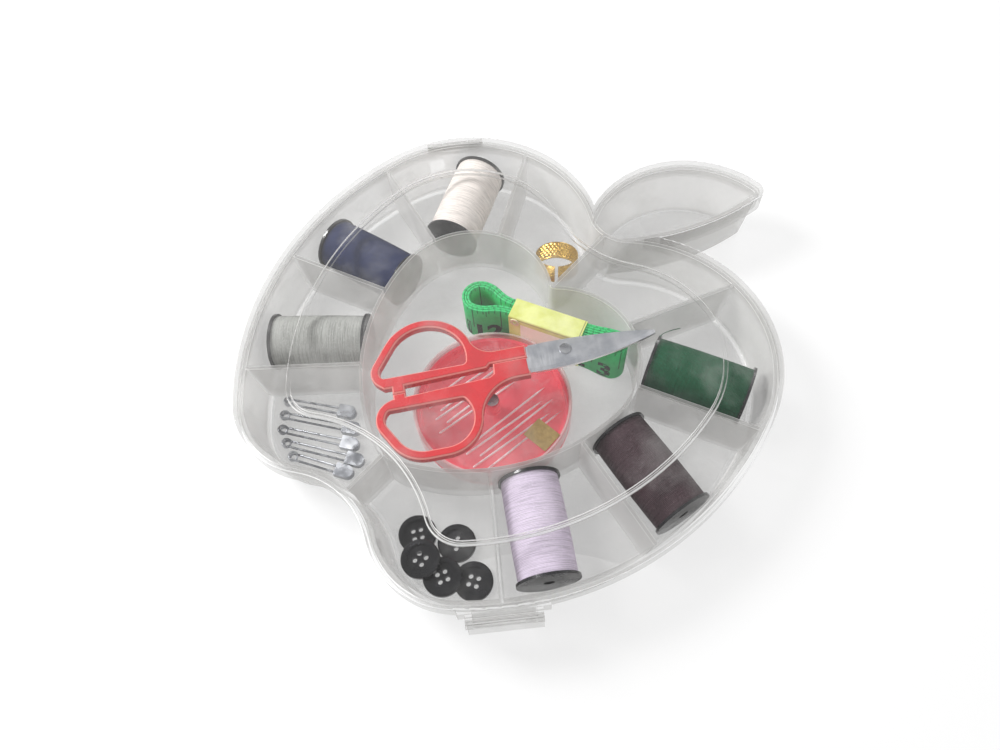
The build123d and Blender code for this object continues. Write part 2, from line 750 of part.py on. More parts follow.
with BuildPart() as fixed_blade:
    with BuildSketch(scissors_level(upper_blade_z)):
        add(fixed_blade_outline)
        Circle(rivet_radius + pin_fit, mode=Mode.SUBTRACT)
    extrude(amount=blade_thickness)
    # The ground bevel follows the cutting edge
    with BuildSketch(Plane(origin=scissors_level(0).from_local_coords(cutting_arc.arc_center),
                           x_dir=(1, 0, 0), z_dir=(0, -1, 0))):
        with BuildLine():
            Polyline((cutting_arc.radius - blade_bevel_width, blade_top),
                     (cutting_arc.radius, blade_top - blade_bevel_height),
                     (cutting_arc.radius + blade_gap, blade_top - blade_bevel_height),
                     (cutting_arc.radius + blade_gap, blade_top), close=True)
        make_face()
    revolve(axis=Axis(scissors_level(0).from_local_coords(cutting_arc.arc_center), (0, 0, 1)),
            mode=Mode.SUBTRACT)

with BuildPart() as moving_blade:
    with BuildSketch(scissors_level(lower_blade_z)):
        add(moving_blade_outline)
        Circle(rivet_radius + running_fit, mode=Mode.SUBTRACT)
    extrude(amount=blade_thickness)

with BuildPart() as moving_handle:
    with BuildSketch(scissors_level(handle_bottom)):
        add(moving_handle_outline)
    extrude(amount=handle_top - handle_bottom)
    chamfer(moving_handle.faces().filter_by(Plane.XY).edges(), handle_bevel)
    add(moving_blade.part, mode=Mode.SUBTRACT)

with BuildPart() as fixed_handle:
    with BuildSketch(scissors_level(handle_bottom)):
        add(fixed_handle_outline)
    extrude(amount=handle_top - handle_bottom)
    chamfer(fixed_handle.faces().filter_by(Plane.XY).edges(), handle_bevel)
    add(fixed_blade.part, mode=Mode.SUBTRACT)

with BuildPart() as scissors_rivet:
    with BuildSketch(scissors_level(lower_blade_z - blade_gap - rivet_head_height)):
        Circle(rivet_head_radius)
    extrude(amount=rivet_head_height)
    with BuildSketch(scissors_level(lower_blade_z - blade_gap)):
        Circle(rivet_radius)
    extrude(amount=blade_top - lower_blade_z + blade_gap)
    with BuildSketch(scissors_level(blade_top)):
        Circle(rivet_head_radius)
    extrude(amount=rivet_head_height)
    chamfer(scissors_rivet.faces().sort_by(Axis.Z)[-1].edges(), rivet_head_height / 2)

for name, piece in (("scissors_fixed_blade", fixed_blade), ("scissors_moving_blade", moving_blade),
                    ("scissors_fixed_handle", fixed_handle),
                    ("scissors_moving_handle", moving_handle), ("scissors_rivet", scissors_rivet)):
    piece.part.label = name
    export_step(piece.part, "parts/" + name + ".step")

# Needle case: the cover turns about a rivet in the base's middle boss
case_floor = floor_thickness + case_wall
case_top = floor_thickness + case_height
case_rim_inner = case_radius - case_wall
case_base_radius = case_rim_inner - case_play

with BuildPart() as needle_case_base:
    with BuildSketch(Plane.XY.offset(floor_thickness)):
        with Locations((case_x, case_y)):
            Circle(case_radius)
    extrude(amount=case_foot)
    with BuildSketch(Plane.XY.offset(floor_thickness)):
        with Locations((case_x, case_y)):
            Circle(case_base_radius)
    extrude(amount=case_base_height)
    with BuildSketch(Plane.XY.offset(case_floor)):
        with Locations((case_x, case_y)):
            Circle(case_base_radius - case_wall)
    extrude(amount=case_base_height, mode=Mode.SUBTRACT)
    with BuildSketch(Plane.XY.offset(floor_thickness)):
        with Locations((case_x, case_y)):
            Circle(case_boss_radius)
    extrude(amount=case_height - case_wall - case_cover_gap)
    with BuildSketch(Plane.XY.offset(floor_thickness)):
        with Locations((case_x, case_y)):
            Circle(case_rivet_radius + pin_fit)
    extrude(amount=case_height, mode=Mode.SUBTRACT)

with BuildPart() as needle_case_cover:
    with BuildSketch(Plane.XY.offset(floor_thickness + case_foot + case_skirt_gap)):
        with Locations((case_x, case_y)):
            Circle(case_radius)
    extrude(amount=case_height - case_foot - case_skirt_gap)
    chamfer(needle_case_cover.faces().sort_by(Axis.Z)[-1].edges(), case_wall / 3)
    with BuildSketch(Plane.XY.offset(floor_thickness + case_foot + case_skirt_gap)):
        with Locations((case_x, case_y)):
            Circle(case_rim_inner)
    extrude(amount=case_height - case_wall - case_foot - case_skirt_gap, mode=Mode.SUBTRACT)
    with BuildSketch(Plane.XY.offset(floor_thickness)):
        with Locations((case_x, case_y)):
            Circle(case_rivet_radius + running_fit)
    extrude(amount=case_height, mode=Mode.SUBTRACT)

with BuildPart() as needle_case_rivet:
    with BuildSketch(Plane.XY.offset(floor_thickness)):
        with Locations((case_x, case_y)):
            Circle(case_rivet_radius)
    extrude(amount=case_height + pin_fit)
    with BuildSketch(Plane.XY.offset(case_top + pin_fit)):
        with Locations((case_x, case_y)):
            Circle(case_rivet_head)
    extrude(amount=case_rivet_height)
    chamfer(needle_case_rivet.faces().sort_by(Axis.Z)[-1].edges(), case_rivet_height / 3)

with BuildPart() as needle_case_label:
    with BuildSketch(Plane.XY.offset(case_top)):
        with Locations((label_x, label_y)):
            Rectangle(label_length, label_width)
    extrude(amount=label_thickness)

# Needles lie side by side on the floor of the case, on both sides of the boss
with BuildPart() as needles:
    for row, (offset, slide) in enumerate(zip(needle_offsets, needle_slides)):
        turn = radians(needle_turn + needle_lean * (-1) ** row)
        along = (cos(turn), sin(turn), 0)
        across = (-sin(radians(needle_turn)), cos(radians(needle_turn)))
        needle_plane = Plane(
            origin=(case_x + offset * across[0] + slide * along[0],
                    case_y + offset * across[1] + slide * along[1], case_floor + needle_radius),
            x_dir=along,
            z_dir=(0, 0, 1),
        )
        blunt, point = -needle_length / 2, needle_length / 2
        with BuildSketch(needle_plane):
            with BuildLine():
                Polyline((blunt, 0), (blunt, needle_radius * 2 / 3),
                         (blunt + needle_radius, needle_radius),
                         (point - needle_point, needle_radius), (point, 0), close=True)
            make_face()
        revolve(axis=Axis(needle_plane.origin, needle_plane.x_dir))
        with BuildSketch(needle_plane.offset(-needle_radius)):
            with Locations((blunt + needle_eye_length, 0)):
                SlotOverall(needle_eye_length, needle_eye_width)
        extrude(amount=2 * needle_radius, mode=Mode.SUBTRACT)

# Tape measure, drawn about the middle of its coil with the sleeve along its own X axis
def tape_level(z):
    return Plane(origin=(tape_x, tape_y, z),
                 x_dir=(cos(radians(tape_turn)), sin(radians(tape_turn)), 0),
                 z_dir=(0, 0, 1))


def tape_line(depth):
    # The wound path at a depth under the band's outer face: it starts on the front of the coil,
    # rounds the right end first and moves in by one pitch at each turn round the left end.
    right = (1, tape_right_x, tape_right_radius)
    left = (-1, -tape_left_x, tape_left_radius)
    with BuildLine() as path:
        reached = (-tape_end_x, depth - tape_waist)
        for turn in range(2 * tape_turns - 1):
            toward, lobe_x, lobe_radius = right if turn % 2 == 0 else left
            inset = depth + (turn // 2) * tape_pitch
            run, rise = lobe_x - tape_waist_x, lobe_radius - tape_waist
            bend = (run ** 2 + rise ** 2) / (4 * rise)
            swing = asin(run / (2 * bend))
            waist_centre = (tape_waist_x, tape_waist + bend)
            lobe_centre = (lobe_x, lobe_radius - bend)
            inner = inset + tape_pitch if toward < 0 else inset
            shift = (inner - inset) / 2
            for side, layer in ((-toward, inset), (toward, inner)):
                arcs = [(waist_centre, bend + layer, -pi / 2, swing - pi / 2),
                        (lobe_centre, bend - layer, pi / 2 + swing, pi / 2)]
                if side == toward:
                    arcs = [(centre, radius, end, start)
                            for centre, radius, start, end in reversed(arcs)]
                    ThreePointArc((toward * lobe_x, -toward * (lobe_radius - inset)),
                                  (toward * (lobe_x + lobe_radius - inset - shift),
                                   -toward * shift),
                                  (toward * lobe_x, toward * (lobe_radius - inner)))
                else:
                    Line(reached, (toward * tape_waist_x, side * (tape_waist - layer)))
                for centre, radius, start, end in arcs:
                    ThreePointArc(*[(toward * (centre[0] + radius * cos(angle)),
                                     side * (centre[1] + radius * sin(angle)))
                                    for angle in (start, (start + end) / 2, end)])
            reached = (toward * tape_waist_x, toward * (tape_waist - inner))
        Line(reached, (tape_end_x, tape_waist - inner))
    return path.wires()[0]


def least_gap(path, count, apart, thickness):
    # The least space between stretches of a path that are further apart along it.
    points = [path.position_at(step / count) for step in range(count + 1)]
    reach = int(apart * count / path.length)
    return min(hypot(a.X - b.X, a.Y - b.Y, a.Z - b.Z) for index, a in enumerate(points)
               for b in points[index + reach:]) - thickness


tape_outer = tape_line(0)
tape_inner = tape_line(tape_thickness)
tape_middle = tape_line(tape_thickness / 2)
print("tape: least gap", 
      round(least_gap(tape_middle, 900, pi * tape_right_radius, tape_thickness), 3))
tape_bottom = floor_thickness + sleeve_thickness
sleeve_height = handle_bottom - tape_headroom - floor_thickness
tape_width = sleeve_height - sleeve_play / 2 - 2 * sleeve_thickness
sleeve_half = tape_waist + sleeve_play + sleeve_thickness

with BuildPart() as tape_measure:
    with BuildSketch(tape_level(tape_bottom)):
        with BuildLine():
            add(tape_outer)
            add(tape_inner)
            Line(tape_outer @ 0, tape_inner @ 0)
            Line(tape_outer @ 1, tape_inner @ 1)
        make_face()
    extrude(amount=tape_width)

with BuildPart() as tape_sleeve:
    with BuildSketch(tape_level(floor_thickness)):
        Rectangle(sleeve_length, 2 * sleeve_half)
    extrude(amount=sleeve_height)
    with BuildSketch(tape_level(tape_bottom)):
        Rectangle(2 * sleeve_length, 2 * (sleeve_half - sleeve_thickness))
    extrude(amount=sleeve_height - 2 * sleeve_thickness, mode=Mode.SUBTRACT)

eyelet_plane = Plane(
    origin=tape_level(floor_thickness + sleeve_height - eyelet_drop).from_local_coords(
        (eyelet_x, -sleeve_half, 0)),
    x_dir=(cos(radians(tape_turn)), sin(radians(tape_turn)), 0),
    z_dir=(sin(radians(tape_turn)), -cos(radians(tape_turn)), 0),
)

with BuildPart() as tape_eyelet:
    with BuildSketch(eyelet_plane):
        Circle(eyelet_radius)
        Circle(eyelet_bore, mode=Mode.SUBTRACT)
    extrude(amount=eyelet_thickness)

# Ring thimble, resting on the two edges of its split
thimble_rise = sqrt(thimble_radius ** 2 - (thimble_split / 2) ** 2)
thimble_plane = Plane(
    origin=(thimble_x, thimble_y, floor_thickness + thimble_rise),
    x_dir=(-sin(radians(thimble_turn)), cos(radians(thimble_turn)), 0),
    z_dir=(cos(radians(thimble_turn)), sin(radians(thimble_turn)), 0),
)

with BuildPart() as thimble:
    with BuildSketch(thimble_plane.offset(-thimble_width / 2)):
        Circle(thimble_radius)
        Circle(thimble_radius - thimble_wall, mode=Mode.SUBTRACT)
        with Locations((0, -thimble_radius)):
            Rectangle(thimble_split, thimble_radius, mode=Mode.SUBTRACT)
    extrude(amount=thimble_width)

# Buttons: dished tops and four holes, each with the number of buttons under it as its level
with BuildPart() as button:
    with BuildSketch():
        Circle(button_radius)
    extrude(amount=button_thickness)
    chamfer(button.edges(), button_chamfer)
    with BuildSketch(Plane.XY.offset(button_thickness)):
        Circle(button_dish)
    extrude(amount=-button_dish_depth, mode=Mode.SUBTRACT)
    with BuildSketch():
        with PolarLocations(button_hole_pitch / sqrt(2), 4):
            Circle(button_hole_radius)
    extrude(amount=button_thickness, mode=Mode.SUBTRACT)

with BuildPart() as buttons:
    for (button_x, button_y), level, turn in zip(button_places, button_levels, button_turns):
        button_z = floor_thickness + level * (button_thickness + button_gap)
        with Locations(Location((button_x, button_y, button_z), (0, 0, turn))):
            add(button.part)

# Safety pins: one wire with a coil, both ends held in a sheet cap
pin_wire_z = floor_thickness + pin_cap_height / 2
pin_coil_z = floor_thickness + pin_wire_radius
coil_corners = ((-1, 1), (-1, -1), (1, -1), (1, 1), (-1, 1), (-1, -1))


def pin_level(place, z):
    coil_x, coil_y, end_x, end_y = place
    return Plane(origin=(coil_x, coil_y, z), x_dir=(end_x - coil_x, end_y - coil_y, 0),
                 z_dir=(0, 0, 1))


with BuildPart() as safety_pin_wires:
    for place in safety_pin_places:
        pin_length = hypot(place[2] - place[0], place[3] - place[1])
        wire_end = pin_length - pin_cap_length / 2
        corners = [(pin_coil_radius * x, pin_coil_radius * y,
                    pin_coil_z + pin_coil_rise * step) for step, (x, y) in enumerate(coil_corners)]
        with BuildLine(pin_level(place, 0)) as wire_path:
            FilletPolyline((wire_end, pin_spread, pin_wire_z), *corners,
                           (wire_end, -pin_spread, pin_wire_z), radius=pin_bend_radius)
        if place == safety_pin_places[0]:
            wire_gap = least_gap(wire_path.wires()[0], 500, 5 * pin_coil_radius,
                                 2 * pin_wire_radius)
            print("safety pin coil: least gap", round(wire_gap, 3))
        wire_start = wire_path.wires()[0]
        with BuildSketch(Plane(origin=wire_start @ 0, z_dir=wire_start % 0)):
            Circle(pin_wire_radius)
        sweep(path=wire_start)

with BuildPart() as safety_pin_caps:
    for place in safety_pin_places:
        pin_length = hypot(place[2] - place[0], place[3] - place[1])
        mouth_x = pin_length - pin_cap_length
        for wall, low, high, mode in (
                (0.0, 0.0, pin_cap_height, Mode.ADD),
                (pin_cap_wall, pin_cap_wall, pin_cap_height - pin_cap_wall, Mode.SUBTRACT)):
            with BuildSketch(pin_level(place, floor_thickness + low)):
                with Locations((pin_length - pin_cap_width / 2, 0)):
                    Circle(pin_cap_width / 2 - wall)
                with Locations(((mouth_x + pin_length - pin_cap_width / 2) / 2, 0)):
                    Rectangle(pin_cap_length - pin_cap_width / 2, pin_cap_width - 2 * wall)
            extrude(amount=high - low, mode=mode)

for name, piece in (("needle_case_base", needle_case_base), ("needle_case_cover", needle_case_cover),
                    ("needle_case_rivet", needle_case_rivet), ("needles", needles),
                    ("needle_case_label", needle_case_label), ("tape_measure", tape_measure),
                    ("tape_sleeve", tape_sleeve), ("tape_eyelet", tape_eyelet),
                    ("thimble", thimble), ("buttons", buttons),
                    ("safety_pin_wires", safety_pin_wires), ("safety_pin_caps", safety_pin_caps)):
    piece.part.label = name
    export_step(piece.part, "parts/" + name + ".step")
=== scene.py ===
import bpy
import bmesh
import math
import random
from mathutils import Matrix, Vector


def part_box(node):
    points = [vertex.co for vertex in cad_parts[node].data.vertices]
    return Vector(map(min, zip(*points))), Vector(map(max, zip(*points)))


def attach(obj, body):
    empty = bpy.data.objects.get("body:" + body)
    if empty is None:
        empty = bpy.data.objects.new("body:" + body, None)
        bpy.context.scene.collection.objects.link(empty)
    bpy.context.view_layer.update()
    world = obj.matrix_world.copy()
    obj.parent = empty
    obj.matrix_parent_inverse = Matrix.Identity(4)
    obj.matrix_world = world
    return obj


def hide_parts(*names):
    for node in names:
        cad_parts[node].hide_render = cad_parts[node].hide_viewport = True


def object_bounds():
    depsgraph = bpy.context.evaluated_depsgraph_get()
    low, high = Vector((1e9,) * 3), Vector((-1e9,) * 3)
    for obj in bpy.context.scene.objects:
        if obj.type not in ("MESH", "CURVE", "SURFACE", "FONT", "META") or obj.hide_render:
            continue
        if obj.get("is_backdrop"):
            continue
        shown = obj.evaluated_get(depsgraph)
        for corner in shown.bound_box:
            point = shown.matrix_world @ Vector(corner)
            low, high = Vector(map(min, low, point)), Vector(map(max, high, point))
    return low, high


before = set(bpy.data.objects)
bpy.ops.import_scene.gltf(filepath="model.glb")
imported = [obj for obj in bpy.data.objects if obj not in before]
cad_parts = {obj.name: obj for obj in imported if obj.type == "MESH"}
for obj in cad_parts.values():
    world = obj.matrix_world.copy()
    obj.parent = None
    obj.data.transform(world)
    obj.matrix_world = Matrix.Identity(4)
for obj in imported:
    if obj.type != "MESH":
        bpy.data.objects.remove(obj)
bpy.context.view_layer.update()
print("frame loaded")

mm = 0.001
random.seed(7)


def colour(code):  # a screen colour such as "C83A34" in linear light
    parts = [int(code[i:i + 2], 16) / 255 for i in (0, 2, 4)]
    return tuple(p / 12.92 if p <= 0.04045 else ((p + 0.055) / 1.055) ** 2.4 for p in parts) + (1.0,)


class Reading:
    # One output of a node, so that sums of shader values read as sums
    def __init__(self, look, socket):
        self.look, self.socket = look, socket

    def math(self, operation, *others):
        return self.look.make("ShaderNodeMath", {"operation": operation}, self, *others)

    def swapped(self, operation, other):
        return self.look.make("ShaderNodeMath", {"operation": operation}, other, self)

    def __add__(self, other): return self.math("ADD", other)
    def __radd__(self, other): return self.swapped("ADD", other)
    def __sub__(self, other): return self.math("SUBTRACT", other)
    def __rsub__(self, other): return self.swapped("SUBTRACT", other)
    def __mul__(self, other): return self.math("MULTIPLY", other)
    def __rmul__(self, other): return self.swapped("MULTIPLY", other)
    def __lt__(self, other): return self.math("LESS_THAN", other)
    def __gt__(self, other): return self.math("GREATER_THAN", other)
    def __mod__(self, other): return self.math("FLOORED_MODULO", other)
    def __pow__(self, other): return self.math("POWER", other)
    def __abs__(self): return self.math("ABSOLUTE")


class Look:
    # A material built round one Principled shader
    def __init__(self, name, code, rough=0.4, **finish):
        self.material = bpy.data.materials.new(name)
        self.material.use_nodes = True
        self.nodes, self.links = self.material.node_tree.nodes, self.material.node_tree.links
        self.shader = self.nodes["Principled BSDF"]
        self.colour = colour(code)
        self.set("Base Color", self.colour)
        self.set("Roughness", rough)
        for socket, value in finish.items():
            self.set(socket.replace("_", " "), value)

    def give(self, socket, value):
        if isinstance(value, Reading):
            self.links.new(value.socket, socket)
        else:
            socket.default_value = value

    def set(self, name, value):
        self.give(self.shader.inputs[name], value)

    def make(self, kind, settings, *values, out=0, **named):  # a value of None leaves its socket alone
        node = self.nodes.new(kind)
        for key, value in settings.items():
            setattr(node, key, value)
        for index, value in enumerate(values):
            if value is not None:
                self.give(node.inputs[index], value)
        for key, value in named.items():
            self.give(node.inputs[key], value)
        return Reading(self, node.outputs[out])

    def place(self, spot=(0, 0, 0), turn=0.0):  # object coordinates in millimetres about a spot
        where = self.make("ShaderNodeTexCoord", {}, out="Object")
        return self.make("ShaderNodeMapping", {"vector_type": "TEXTURE"}, where,
                         tuple(c * mm for c in spot), (0, 0, math.radians(turn)), (mm, mm, mm))

    def split(self, vector):
        return [self.make("ShaderNodeSeparateXYZ", {}, vector, out=i) for i in range(3)]

    def joined(self, x, y, z):
        return self.make("ShaderNodeCombineXYZ", {}, x, y, z)

    def noise(self, spot, scale, detail=3.0):
        return self.make("ShaderNodeTexNoise", {}, spot, Scale=scale, Detail=detail, Roughness=0.6)

    def mix(self, amount, first, second):  # a Mix node takes its colours at inputs 6 and 7
        first, second = (colour(tone) if isinstance(tone, str) else tone for tone in (first, second))
        return self.make("ShaderNodeMix", {"data_type": "RGBA"}, amount, *[None] * 5, first, second, out=2)

    def step(self, value, low, high, start=0.0, finish=1.0):  # a smooth step between two values
        return self.make("ShaderNodeMapRange", {"interpolation_type": "SMOOTHSTEP"}, value, low, high,
                         start, finish)

    def bump(self, height, strength, distance):
        self.set("Normal", self.make("ShaderNodeBump", {}, Strength=strength, Distance=distance * mm,
                                     Height=height))

    def vary(self, reading, least, most):  # let the roughness follow a noise
        self.set("Roughness", self.step(reading, 0.3, 0.7, least, most))

    def glow(self, tone, strength):  # painted glow: emitted light that stands in for the light thin plastic, paper and bright wire pass on
        self.set("Emission Color", tone)
        self.set("Emission Strength", strength)

    def facing(self):  # nought where the surface is seen straight on, one at its edge
        return self.make("ShaderNodeLayerWeight", {}, 0.5, out="Facing")


def dress(look, *nodes):
    for node in nodes:
        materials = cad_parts[node].data.materials
        materials.clear()
        materials.append(look.material)


def piece(name, bm, look, body="case", smooth=True):  # a finished bmesh becomes an object that rides
    mesh = bpy.data.meshes.new(name)
    bmesh.ops.recalc_face_normals(bm, faces=bm.faces)
    for face in bm.faces:
        face.smooth = smooth
    bm.to_mesh(mesh)
    bm.free()
    mesh.materials.append(look.material)
    thing = bpy.data.objects.new(name, mesh)
    bpy.context.scene.collection.objects.link(thing)
    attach(thing, body)
    return thing


def ringsToFaces(bm, rings, closed=False):  # skin a row of equal vertex rings
    for first, second in zip(rings, rings[1:] + rings[:1] if closed else rings[1:]):
        count = len(first)
        for i in range(count):
            bm.faces.new((first[i], first[(i + 1) % count], second[(i + 1) % count], second[i]))
    if not closed:
        bm.faces.new(rings[0])
        bm.faces.new(rings[-1])


# Camera, lamps and floor
shot = {"lens": 27.6, "sensor": 36, "nearest": 0.01, "spot": (0.09961, -0.08636, 0.2514),
        "right": (0.74377, 0.66645, -0.05145), "up": (-0.57136, 0.67383, 0.46851)}
studio = {"world": 0.46, "floor": "F2F2F2", "floorWhite": 0.68, "floorHalf": 2.5, "aim": (0, 0.02, 0),
          "lamps": (("key", (-0.42, -0.14, 0.46), 0.22, 4.4), ("fill", (0.60, 0.30, 0.60), 0.45, 1.4),
                    ("back", (-0.25, 0.85, 0.30), 0.30, 2.4))}

stage = bpy.context.scene
camera = bpy.data.objects.new("camera", bpy.data.cameras.new("camera"))
stage.collection.objects.link(camera)
camera.data.lens = shot["lens"]
camera.data.sensor_width = shot["sensor"]
camera.data.clip_start = shot["nearest"]
right, up = Vector(shot["right"]).normalized(), Vector(shot["up"]).normalized()
camera.matrix_world = (Matrix.Translation(shot["spot"])
                       @ Matrix((right, up, right.cross(up))).transposed().to_4x4())
stage.camera = camera
stage.view_settings.view_transform = "Standard"

for name, spot, size, power in studio["lamps"]:
    lamp = bpy.data.lights.new(name, "AREA")
    lamp.size, lamp.energy = size, power
    holder = bpy.data.objects.new(name, lamp)
    holder.location = spot
    holder.rotation_mode = "QUATERNION"
    holder.rotation_quaternion = (Vector(studio["aim"]) - Vector(spot)).to_track_quat("-Z", "Y")
    stage.collection.objects.link(holder)

world = bpy.data.worlds.new("studio")
world.use_nodes = True
world.node_tree.nodes["Background"].inputs[0].default_value = (1, 1, 1, 1)
world.node_tree.nodes["Background"].inputs[1].default_value = studio["world"]
stage.world = world

bm = bmesh.new()
bmesh.ops.create_grid(bm, x_segments=1, y_segments=1, size=studio["floorHalf"])
floorMesh = bpy.data.meshes.new("floor")
bm.to_mesh(floorMesh)
bm.free()
floor = bpy.data.objects.new("floor", floorMesh)
stage.collection.objects.link(floor)
floorLook = Look("floorWhite", studio["floor"], 0.9)
seen = floorLook.make("ShaderNodeLightPath", {}, out="Is Camera Ray")
mirrored = floorLook.make("ShaderNodeLightPath", {}, out="Is Glossy Ray")
plain = floorLook.make("ShaderNodeEmission", {}, (1, 1, 1, 1), 1.0)
mixed = floorLook.make("ShaderNodeMixShader", {}, seen.math("MAXIMUM", mirrored) * studio["floorWhite"],
                       Reading(floorLook, floorLook.shader.outputs[0]), plain)
floorLook.give(floorLook.nodes["Material Output"].inputs[0], mixed)
floorMesh.materials.append(floorLook.material)
floor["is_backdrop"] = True
print("camera, lamps and floor")

# Clear plastic of the case: grey where it is looked through, with a painted white highlight along its edges,
# painted shade where seen edge-on and on the lid's skirt, and a painted glow.
# Haze, wall, side and edge are shares of cover. The edges of the tray and the lid are heights in
# millimetres between which a wall turns a corner and the painted highlight runs, each with the width over which
# it fades.
case = {"grey": "D0CFCD", "white": "FFFFFF", "rim": "7E7D79", "skirt": "A3A29E", "glow": 0.12, "rough": 0.12,
        "side": 0.5, "edge": 0.6, "cloud": 0.07, "most": 0.92, "paintedFloorShade": 0.2, "floorTop": 1.6}
tray = {"haze": 0.04, "wall": 0.3, "edges": ((22.7, 23.6, 0.15),)}
lid = {"haze": 0.015, "wall": 0.2, "edges": ((24.15, 24.75, 0.2), (25.0, 26.9, 0.5))}


def clearLook(name, part):
    look = Look(name, case["grey"], case["rough"])
    spot = look.place()
    height = look.split(spot)[2]
    cloud = look.noise(spot, 0.05, 4)
    level = abs(look.split(look.make("ShaderNodeNewGeometry", {}, out="Normal"))[2])  # one on a flat top
    # painted highlight: white lines where the walls turn a corner
    edge = sum(look.step(height, low, low + soft) * look.step(height, high - soft, high, 1, 0)
               for low, high, soft in part["edges"])
    edge = edge.math("MINIMUM", 1.0) * look.step(level, 0.9, 0.99, 1, 0)
    tone = look.mix(edge, case["grey"], case["white"])
    if part is lid:  # its skirt is darker than its top: painted shade
        tone = look.mix(look.step(level, 0.3, 0.8, 0.7, 0) * (1.0 - edge), tone, case["skirt"])
    # painted shade: the plastic darkens where it is seen edge-on
    tone = look.mix(look.facing() ** 6, tone, case["rim"])
    look.set("Base Color", tone)
    # painted glow: the plastic gives off a little light of its own tone
    look.glow(tone, case["glow"])
    cover = look.facing() ** 2 * case["side"] + part["haze"] + edge * case["edge"]
    cover = cover + look.step(cloud, 0.45, 0.7, 0, case["cloud"]) + look.step(level, 0.5, 0.9, part["wall"], 0)
    if part is tray:  # its floor is greyer: painted shade for the dimmer light inside the case
        cover = cover + look.step(height, case["floorTop"] - 0.05, case["floorTop"] + 0.15,
                                  case["paintedFloorShade"], 0)
    look.set("Alpha", cover.math("MINIMUM", case["most"]))
    look.set("Roughness", look.step(cloud, 0.35, 0.7, 0.07, 0.18))
    look.bump(look.noise(spot, 0.35, 2), 0.08, 0.1)
    return look


dress(clearLook("clearTray", tray), "base_tray")
dress(clearLook("clearLid", lid), "lid", "latch_flap", "hinge_pin", "latch_pin")
print("case")

# Spools and their thread: each colour with the turn of its spool in degrees
spool = {"radius": 9.8, "crown": 0.25, "half": 16.38, "core": 4.25, "turns": 74, "perTurn": 4, "ridge": 0.16,
         "flattest": 0.7, "steps": 72, "black": "17171B", "worn": "3A3A40"}
# Streaks of noise: how fast they change along the spool and around it, and their detail
yarn = {"strand": (3.2, 0.9, 2), "patch": (0.25, 2.0, 4), "fibre": (3.0, 12.0, 3),
        "deep": 0.7, "pale": 0.45, "gleam": 0.15}
threads = {"gray": ("A3A4A0", 40.3), "navy": ("0C1C4A", 9.2), "silver": ("EEE6E0", 113.0),
           "green": ("00502F", 17.9), "maroon": ("46343A", -15.3), "lilac": ("E0D3E6", -38.7)}

blackLook = Look("blackPlastic", spool["black"], 0.3)
smear = blackLook.noise(blackLook.place(), 0.16)
blackLook.set("Roughness", blackLook.step(smear, 0.3, 0.75, 0.1, 0.3))
blackLook.set("Base Color", blackLook.mix(blackLook.step(smear, 0.5, 0.8, 0, 0.3),
                                          spool["black"], spool["worn"]))


def threadLook(name, code, spot, turn):
    look = Look(name + "Thread", code, 0.6, Specular_IOR_Level=yarn["gleam"])
    along, across, height = look.split(look.place(spot, turn))
    around = height.math("ARCTAN2", across)
    strand, patch, fibre = (look.noise(look.joined(along * length, around * girth, 0.0), 1.0, detail)
                            for length, girth, detail in (yarn["strand"], yarn["patch"], yarn["fibre"]))
    r, g, b, _ = look.colour
    deep = tuple(c * yarn["deep"] for c in (r, g, b)) + (1,)
    pale = tuple(c + yarn["pale"] * math.sqrt(c) * (1 - c) for c in (r, g, b)) + (1,)
    tone = look.mix(look.step(strand, 0.36, 0.6), deep, look.colour)
    tone = look.mix(look.step(patch, 0.4, 0.75, 0, 0.22), tone, deep)
    look.set("Base Color", look.mix(look.step(fibre, 0.52, 0.75, 0, 0.75), tone, pale))
    look.vary(strand, 0.7, 0.45)
    look.bump(fibre, 0.6, 0.08)
    return look


def woundBody(centre, turn):  # a ridged profile, one ridge for each turn of thread, spun about the spool
    bm = bmesh.new()
    profile = [(-spool["half"], spool["core"])]
    count = spool["turns"] * spool["perTurn"]
    for step in range(count + 1):
        along = spool["half"] * (2 * step / count - 1)
        swell = spool["radius"] - spool["crown"] * (along / spool["half"]) ** 2
        wave = 0.5 - 0.5 * math.cos(step * math.tau / spool["perTurn"])
        profile.append((along, swell - spool["ridge"] * wave * random.uniform(spool["flattest"], 1.0)))
    profile.append((spool["half"], spool["core"]))
    verts = [bm.verts.new((x * mm, 0, r * mm)) for x, r in profile]
    edges = [bm.edges.new(pair) for pair in zip(verts, verts[1:])]
    bmesh.ops.spin(bm, geom=verts + edges, cent=(0, 0, 0), axis=(1, 0, 0), angle=math.tau,
                   steps=spool["steps"], use_merge=True)
    bmesh.ops.remove_doubles(bm, verts=bm.verts, dist=1e-7)
    bmesh.ops.transform(bm, verts=bm.verts,
                        matrix=Matrix.Translation(centre) @ Matrix.Rotation(math.radians(turn), 4, "Z"))
    return bm


threadLooks = {}
for name, (code, turn) in threads.items():
    low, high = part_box(name + "_spool")
    centre = (Vector(low) + Vector(high)) / 2
    threadLooks[name] = threadLook(name, code, centre / mm, turn)
    wound = piece(name + "WoundThread", woundBody(centre, turn), threadLooks[name])
    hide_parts(name + "_thread")
    dress(blackLook, name + "_spool")
dress(blackLook, "buttons")

# Loose end of the green thread, which rises from the wound body and hangs over behind it
thread = {"radius": 0.16, "spots": ((42.9, 39.4, 13.5), (40.9, 41.6, 17.8), (40.7, 45.1, 20.2),
                                    (42.3, 48.6, 20.6), (44.3, 51.8, 20.0))}

